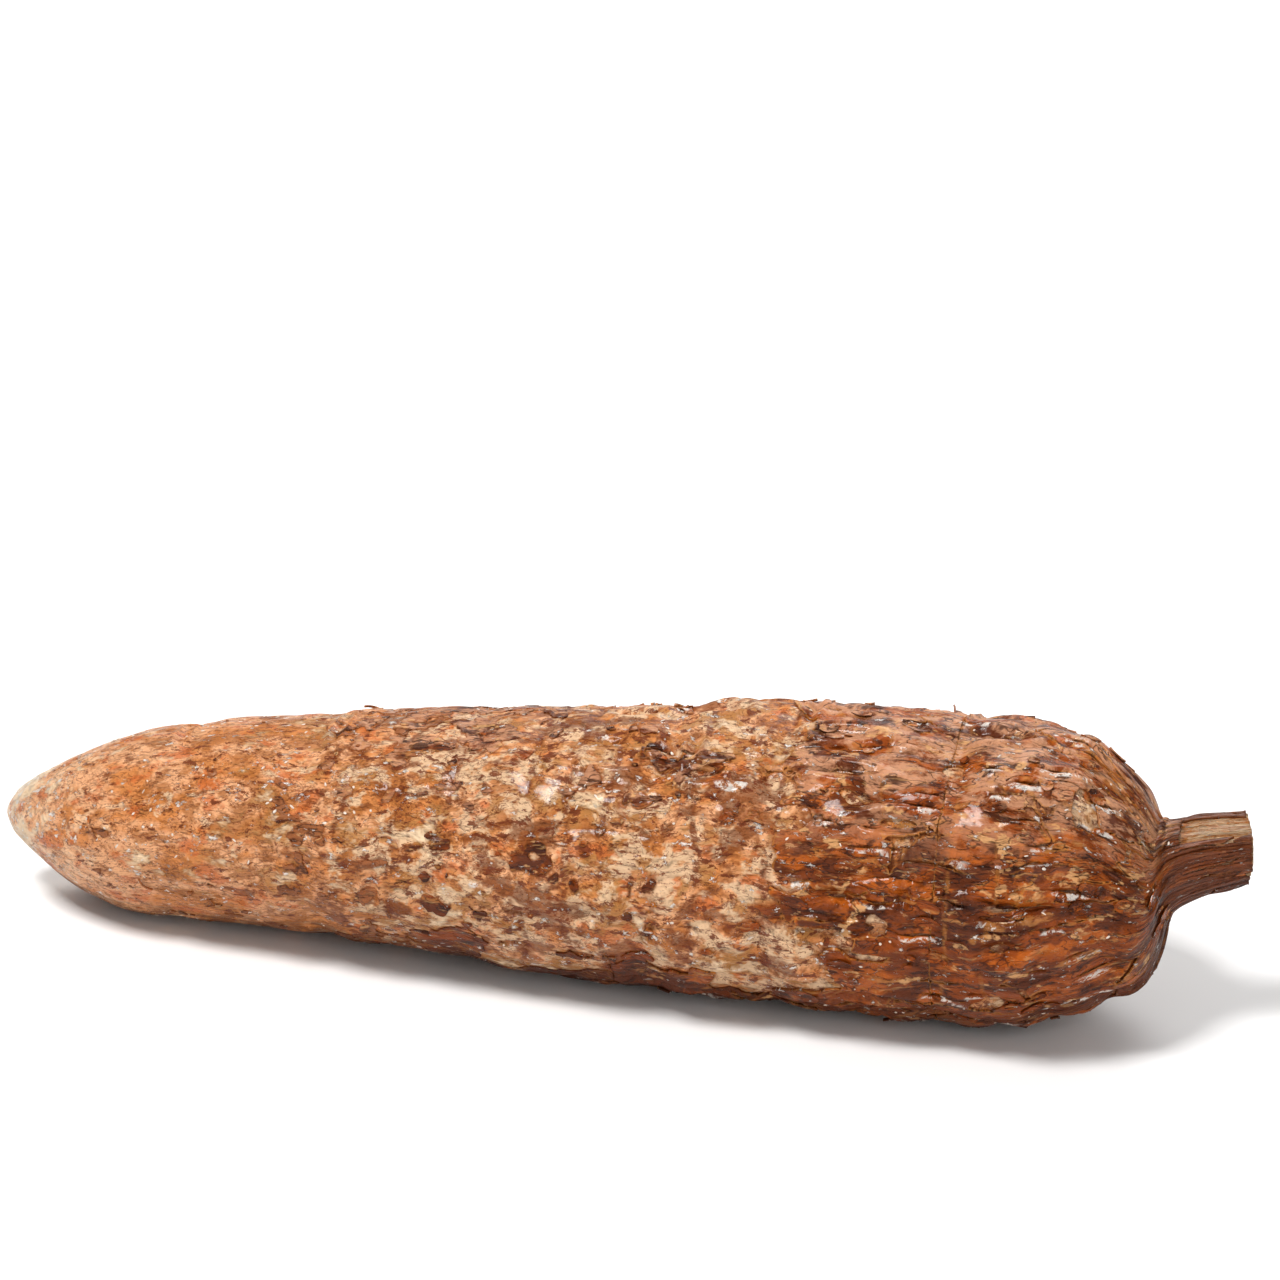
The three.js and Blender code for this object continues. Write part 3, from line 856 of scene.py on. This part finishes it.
def scatter_tree(name, sizes, share, shape, turns, material):
    """A node tree that sets copies of a small shape on a mesh.

    sizes are the tree's named inputs; share names the value of the mesh that says how thickly the copies lie; shape
    builds one from the tree and its input sockets; turns are the least and the most that a copy is turned.
    """
    tree = bpy.data.node_groups.new(name, "GeometryNodeTree")
    tree.interface.new_socket("Geometry", in_out="INPUT", socket_type="NodeSocketGeometry")
    for size in sizes:
        kind = "NodeSocketInt" if size == "Seed" else "NodeSocketFloat"
        tree.interface.new_socket(size, in_out="INPUT", socket_type=kind)
    tree.interface.new_socket("Geometry", in_out="OUTPUT", socket_type="NodeSocketGeometry")
    given = add(tree, "NodeGroupInput").outputs
    thickly = add(tree, "GeometryNodeInputNamedAttribute", {"Name": share}, data_type="FLOAT").outputs["Attribute"]
    number = add(tree, "ShaderNodeMath", {0: thickly, 1: given["Density"]}, operation="MULTIPLY")
    inputs = {"Mesh": given["Geometry"], "Density": number, "Seed": given["Seed"]}
    points = add(tree, "GeometryNodeDistributePointsOnFaces", inputs)
    along = add(tree, "GeometryNodeInputNamedAttribute", {"Name": "lengthwise"}, data_type="FLOAT_VECTOR")
    standing = add(tree, "FunctionNodeAlignRotationToVector", {"Vector": points.outputs["Normal"]}, axis="Z")
    inputs = {"Rotation": standing, "Vector": along.outputs["Attribute"]}
    facing = add(tree, "FunctionNodeAlignRotationToVector", inputs, axis="X", pivot_axis="Z")
    ranges = [{"Min": least, "Max": most, "Seed": given["Seed"]} for least, most in (turns, SCATTER_SIZES)]
    turn, size = (add(tree, "FunctionNodeRandomValue", inputs, data_type="FLOAT_VECTOR") for inputs in ranges)
    turned = add(tree, "FunctionNodeRotateRotation", {"Rotation": facing, "Rotate By": turn}, rotation_space="LOCAL")
    inputs = {"Points": points, "Instance": shape(tree, given), "Rotation": turned, "Scale": size}
    placed = add(tree, "GeometryNodeInstanceOnPoints", inputs)
    real = add(tree, "GeometryNodeRealizeInstances", {"Geometry": placed})
    # Position, moved to where the tip is the start, is close to the skin's own coordinates.
    inputs = {0: add(tree, "GeometryNodeInputPosition"), 1: (LENGTH / 2 * MM, 0, -GIRTH * MM)}
    here = add(tree, "ShaderNodeVectorMath", inputs, operation="ADD")
    inputs = {"Geometry": real, "Name": "bark_coord", "Value": here}
    stored = add(tree, "GeometryNodeStoreNamedAttribute", inputs, data_type="FLOAT_VECTOR", domain="POINT")
    coloured = add(tree, "GeometryNodeSetMaterial", {"Geometry": stored, "Material": material})
    add(tree, "NodeGroupOutput", {"Geometry": coloured})
    return tree


def scatter(name, settings, sizes, share, shape, turns, material):
    """Runs a scatter tree on the outer skin and keeps what it makes as one plain piece."""
    sizes = ("Density", "Seed", *sizes)
    tree = scatter_tree(name, sizes, share, shape, turns, material)
    host = outer_skin(bpy.context.scene.cassava_bark)
    modifier = host.modifiers.new(name, "NODES")
    modifier.node_group = tree
    for item in tree.interface.items_tree:
        if item.in_out == "INPUT" and item.name in sizes:
            modifier[item.identifier] = getattr(settings, item.name.lower())
    graph = bpy.context.evaluated_depsgraph_get()
    mesh = bpy.data.meshes.new_from_object(host.evaluated_get(graph), preserve_all_data_layers=True, depsgraph=graph)
    host.modifiers.remove(modifier)
    bpy.data.objects.remove(host)
    mesh.name = name
    dress(new_object(name, mesh))


# ---- what a user would change ----
class RootSettings(PropertyGroup):
    ring_step: FloatProperty(
        name="Ring Step", description="Distance between the rings of the rind's mesh", default=0.82 * MM,
        min=0.3 * MM, unit="LENGTH",
    )
    segments: IntProperty(name="Segments", description="Faces round the rind", default=236, min=24)
    rind: FloatVectorProperty(
        name="Rind", description="Main colour of the bare rind", subtype="COLOR", size=4, default=linear("#CC8044")
    )


class BarkSettings(PropertyGroup):
    cover: FloatProperty(
        name="Cover", description="Above 0 keeps more bark on the root, below 0 less", default=0.0, min=-1, max=1
    )
    thickness: FloatProperty(
        name="Thickness", description="Thickness of the cork at the shoulder", default=0.5 * MM, unit="LENGTH"
    )
    lift: FloatProperty(
        name="Lift", description="How far torn edges stand off the rind", default=0.7 * MM, unit="LENGTH"
    )
    cork: FloatVectorProperty(
        name="Cork", description="Main colour of the cork", subtype="COLOR", size=4, default=linear("#582404")
    )


class ScaleSettings(PropertyGroup):
    density: FloatProperty(name="Density", description="Scales on a square metre", default=24000)
    length: FloatProperty(name="Length", description="Usual length", default=4.6 * MM, unit="LENGTH")
    width: FloatProperty(name="Width", description="Usual width", default=2.4 * MM, unit="LENGTH")
    thickness: FloatProperty(name="Thickness", description="Of the cork", default=0.25 * MM, unit="LENGTH")
    curl: FloatProperty(
        name="Curl", description="How far the rim of a scale stands up", default=0.35 * MM, unit="LENGTH"
    )
    seed: IntProperty(name="Seed", description="Picks another scattering", default=4)


class WaxSettings(PropertyGroup):
    density: FloatProperty(name="Density", description="Drops on a square metre", default=26000)
    radius: FloatProperty(name="Radius", description="Of a usual drop", default=0.26 * MM, unit="LENGTH")
    seed: IntProperty(name="Seed", description="Picks another scattering", default=9)


class RootletSettings(PropertyGroup):
    density: FloatProperty(name="Density", description="Rootlets on a square metre", default=240)
    length: FloatProperty(name="Length", description="Usual length", default=4.5 * MM, unit="LENGTH")
    radius: FloatProperty(name="Radius", description="Where they leave the skin", default=0.22 * MM, unit="LENGTH")
    seed: IntProperty(name="Seed", description="Picks another scattering", default=2)


class StageSettings(PropertyGroup):
    distance: FloatProperty(name="Distance", description="From the camera to the root", default=0.9, unit="LENGTH")
    lens: FloatProperty(name="Lens", description="Focal length", default=109, unit="CAMERA")
    azimuth: FloatProperty(
        name="Azimuth", description="Turn of the camera from the front towards the neck", default=math.radians(15),
        subtype="ANGLE",
    )
    elevation: FloatProperty(
        name="Elevation", description="Angle of sight down onto the root", default=math.radians(25), subtype="ANGLE"
    )


# ---- pieces ----
class CASSAVA_OT_rind(Operator):
    """Builds the rind: the whole skin of the root, closed at the cut across the neck"""

    bl_idname = "cassava.rind"
    bl_label = "Rind"

    def execute(self, context):
        settings = context.scene.cassava_root
        segments = settings.segments
        along, angle = skin_grid(0, SKIN_LENGTH, settings.ring_step / MM, segments)
        points = skin(along, angle)
        cut, cut_coordinates = cut_face(points[-1], angle[-1])
        _, lips = fissures(along, angle)
        values = {
            "bare": bark_field(along, angle, context.scene.cassava_bark.cover),
            "lips": lips,
            "ringed": ring_lines(along, angle),
            "up": np.sin(angle),
        }
        for key, value in values.items():
            values[key] = with_cut(value, np.full(len(cut), -1.0 if key == "bare" else 0.0))
        values["bark_coord"] = with_cut(skin_coordinates(along, angle), cut_coordinates)
        faces = tube_faces(len(along) - 1 + CUT_RINGS, segments)
        piece = make_piece("rind", rest(with_cut(points, cut), RIND_FLOOR), faces, values)
        dress(piece, rind_material(settings), wood_material())
        skin_faces = (len(along) - 1) * segments
        piece.data.polygons.foreach_set("material_index", [0] * skin_faces + [1] * (len(faces) - skin_faces))
        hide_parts("cassava_root")
        return {"FINISHED"}


class CASSAVA_OT_bark(Operator):
    """Builds the sheets of cork bark that still hold to the rind"""

    bl_idname = "cassava.bark"
    bl_label = "Cork Bark"

    def execute(self, context):
        bark = context.scene.cassava_bark
        cork = cork_material(bark)
        for name, start, end in BARK_SHEETS:
            dress(bark_shell(name, start, end, bark), cork)
        return {"FINISHED"}


class CASSAVA_OT_scales(Operator):
    """Scatters loose curled scales over the old bark"""

    bl_idname = "cassava.scales"
    bl_label = "Loose Scales"

    def execute(self, context):
        scene = context.scene
        sizes = ("Length", "Width", "Thickness", "Curl")
        cork = cork_material(scene.cassava_bark)
        scatter("loose_scales", scene.cassava_scales, sizes, "scaly", scale, SCALE_TURNS, cork)
        return {"FINISHED"}


class CASSAVA_OT_wax(Operator):
    """Scatters drops of the wax that the root was dipped in"""

    bl_idname = "cassava.wax"
    bl_label = "Wax Drops"

    def execute(self, context):
        wax = wax_material()
        scatter("wax_drops", context.scene.cassava_wax, ("Radius",), "waxy", drop, DROP_TURNS, wax)
        return {"FINISHED"}


class CASSAVA_OT_rootlets(Operator):
    """Scatters the broken ends of feeding roots"""

    bl_idname = "cassava.rootlets"
    bl_label = "Rootlets"

    def execute(self, context):
        scene = context.scene
        sizes = ("Length", "Radius")
        rind = rind_material(scene.cassava_root)
        scatter("rootlets", scene.cassava_rootlets, sizes, "rooty", rootlet, ROOTLET_TURNS, rind)
        return {"FINISHED"}


# ---- stage ----
FLOOR_REACH = 4.0  # how far the floor runs out on each side, in metres
SKY = 0.32  # strength of the even light from all round
LIGHTS = (  # name, place, size and power
    ("key", (-0.25, -0.40, 1.0), 0.3, 11.5),
    ("fill", (0.75, -0.75, 0.55), 0.7, 2.8),
    ("rim", (0.1, 0.75, 0.85), 0.5, 3.0),
    ("wash", (0.0, 1.6, 1.3), 1.6, 14.0),
)
TARGET = (156.7, 0, 27.6)  # the middle of the view, in mm from the tip
TILT = (3.307, -0.177, 0)  # turn of the camera off its target, in degrees: the root lies low in the frame


class CASSAVA_OT_stage(Operator):
    """Sets the pale floor, the soft light and the camera"""

    bl_idname = "cassava.stage"
    bl_label = "Stage"

    def execute(self, context):
        scene = context.scene
        stage = scene.cassava_stage
        scene.view_settings.view_transform = "Standard"

        mesh = bpy.data.meshes.new("floor")
        corners = [(FLOOR_REACH * x, FLOOR_REACH * y, 0) for x, y in ((-1, -1), (1, -1), (1, 1), (-1, 1))]
        mesh.from_pydata(corners, [], [(0, 1, 2, 3)])
        mesh.materials.append(paper_material())
        floor = new_object("floor", mesh)

        world = bpy.data.worlds.new("studio")
        world.use_nodes = True
        background = world.node_tree.nodes["Background"].inputs
        background["Color"].default_value = (1, 1, 1, 1)
        background["Strength"].default_value = SKY
        scene.world = world

        target = Vector((np.array(TARGET) - SHIFT) * MM)
        for name, place, size, power in LIGHTS:
            light = bpy.data.lights.new(name, "AREA")
            light.size = size
            light.energy = power
            lamp = new_object(name, light)
            lamp.location = place
            lamp.rotation_euler = (Vector(place) - target).to_track_quat("Z", "Y").to_euler()

        camera = bpy.data.cameras.new("camera")
        camera.lens = stage.lens
        camera.sensor_width = 36
        eye = new_object("camera", camera)
        level = math.cos(stage.elevation)
        back = Vector((math.sin(stage.azimuth) * level, -math.cos(stage.azimuth) * level, math.sin(stage.elevation)))
        aim = back.to_track_quat("Z", "Y").to_matrix().to_4x4()
        tilt = Euler([math.radians(turn) for turn in TILT]).to_matrix().to_4x4()
        eye.matrix_world = Matrix.Translation(target + back * stage.distance) @ aim @ tilt
        scene.camera = eye
        return {"FINISHED"}


class CASSAVA_PT_panel(Panel):
    """Lists the pieces of the cassava root"""

    bl_idname = "CASSAVA_PT_panel"
    bl_label = "Cassava Root"
    bl_space_type = "VIEW_3D"
    bl_region_type = "UI"
    bl_category = "Cassava"

    def draw(self, context):
        for operator in OPERATORS:
            self.layout.operator(operator.bl_idname)


GROUPS = {
    "cassava_root": RootSettings, "cassava_bark": BarkSettings, "cassava_scales": ScaleSettings,
    "cassava_wax": WaxSettings, "cassava_rootlets": RootletSettings, "cassava_stage": StageSettings,
}
OPERATORS = (
    CASSAVA_OT_stage, CASSAVA_OT_rind, CASSAVA_OT_bark, CASSAVA_OT_scales, CASSAVA_OT_wax, CASSAVA_OT_rootlets,
)
CLASSES = tuple(GROUPS.values()) + OPERATORS + (CASSAVA_PT_panel,)


def register():
    for item in CLASSES:
        bpy.utils.register_class(item)
    for name, group in GROUPS.items():
        setattr(bpy.types.Scene, name, PointerProperty(type=group))


def unregister():
    for name in GROUPS:
        delattr(bpy.types.Scene, name)
    for item in reversed(CLASSES):
        bpy.utils.unregister_class(item)


def main():
    register()
    bpy.ops.cassava.stage()
    bpy.ops.cassava.rind()
    bpy.ops.cassava.bark()
    bpy.ops.cassava.scales()
    bpy.ops.cassava.wax()
    bpy.ops.cassava.rootlets()


if __name__ == "__main__":
    main()
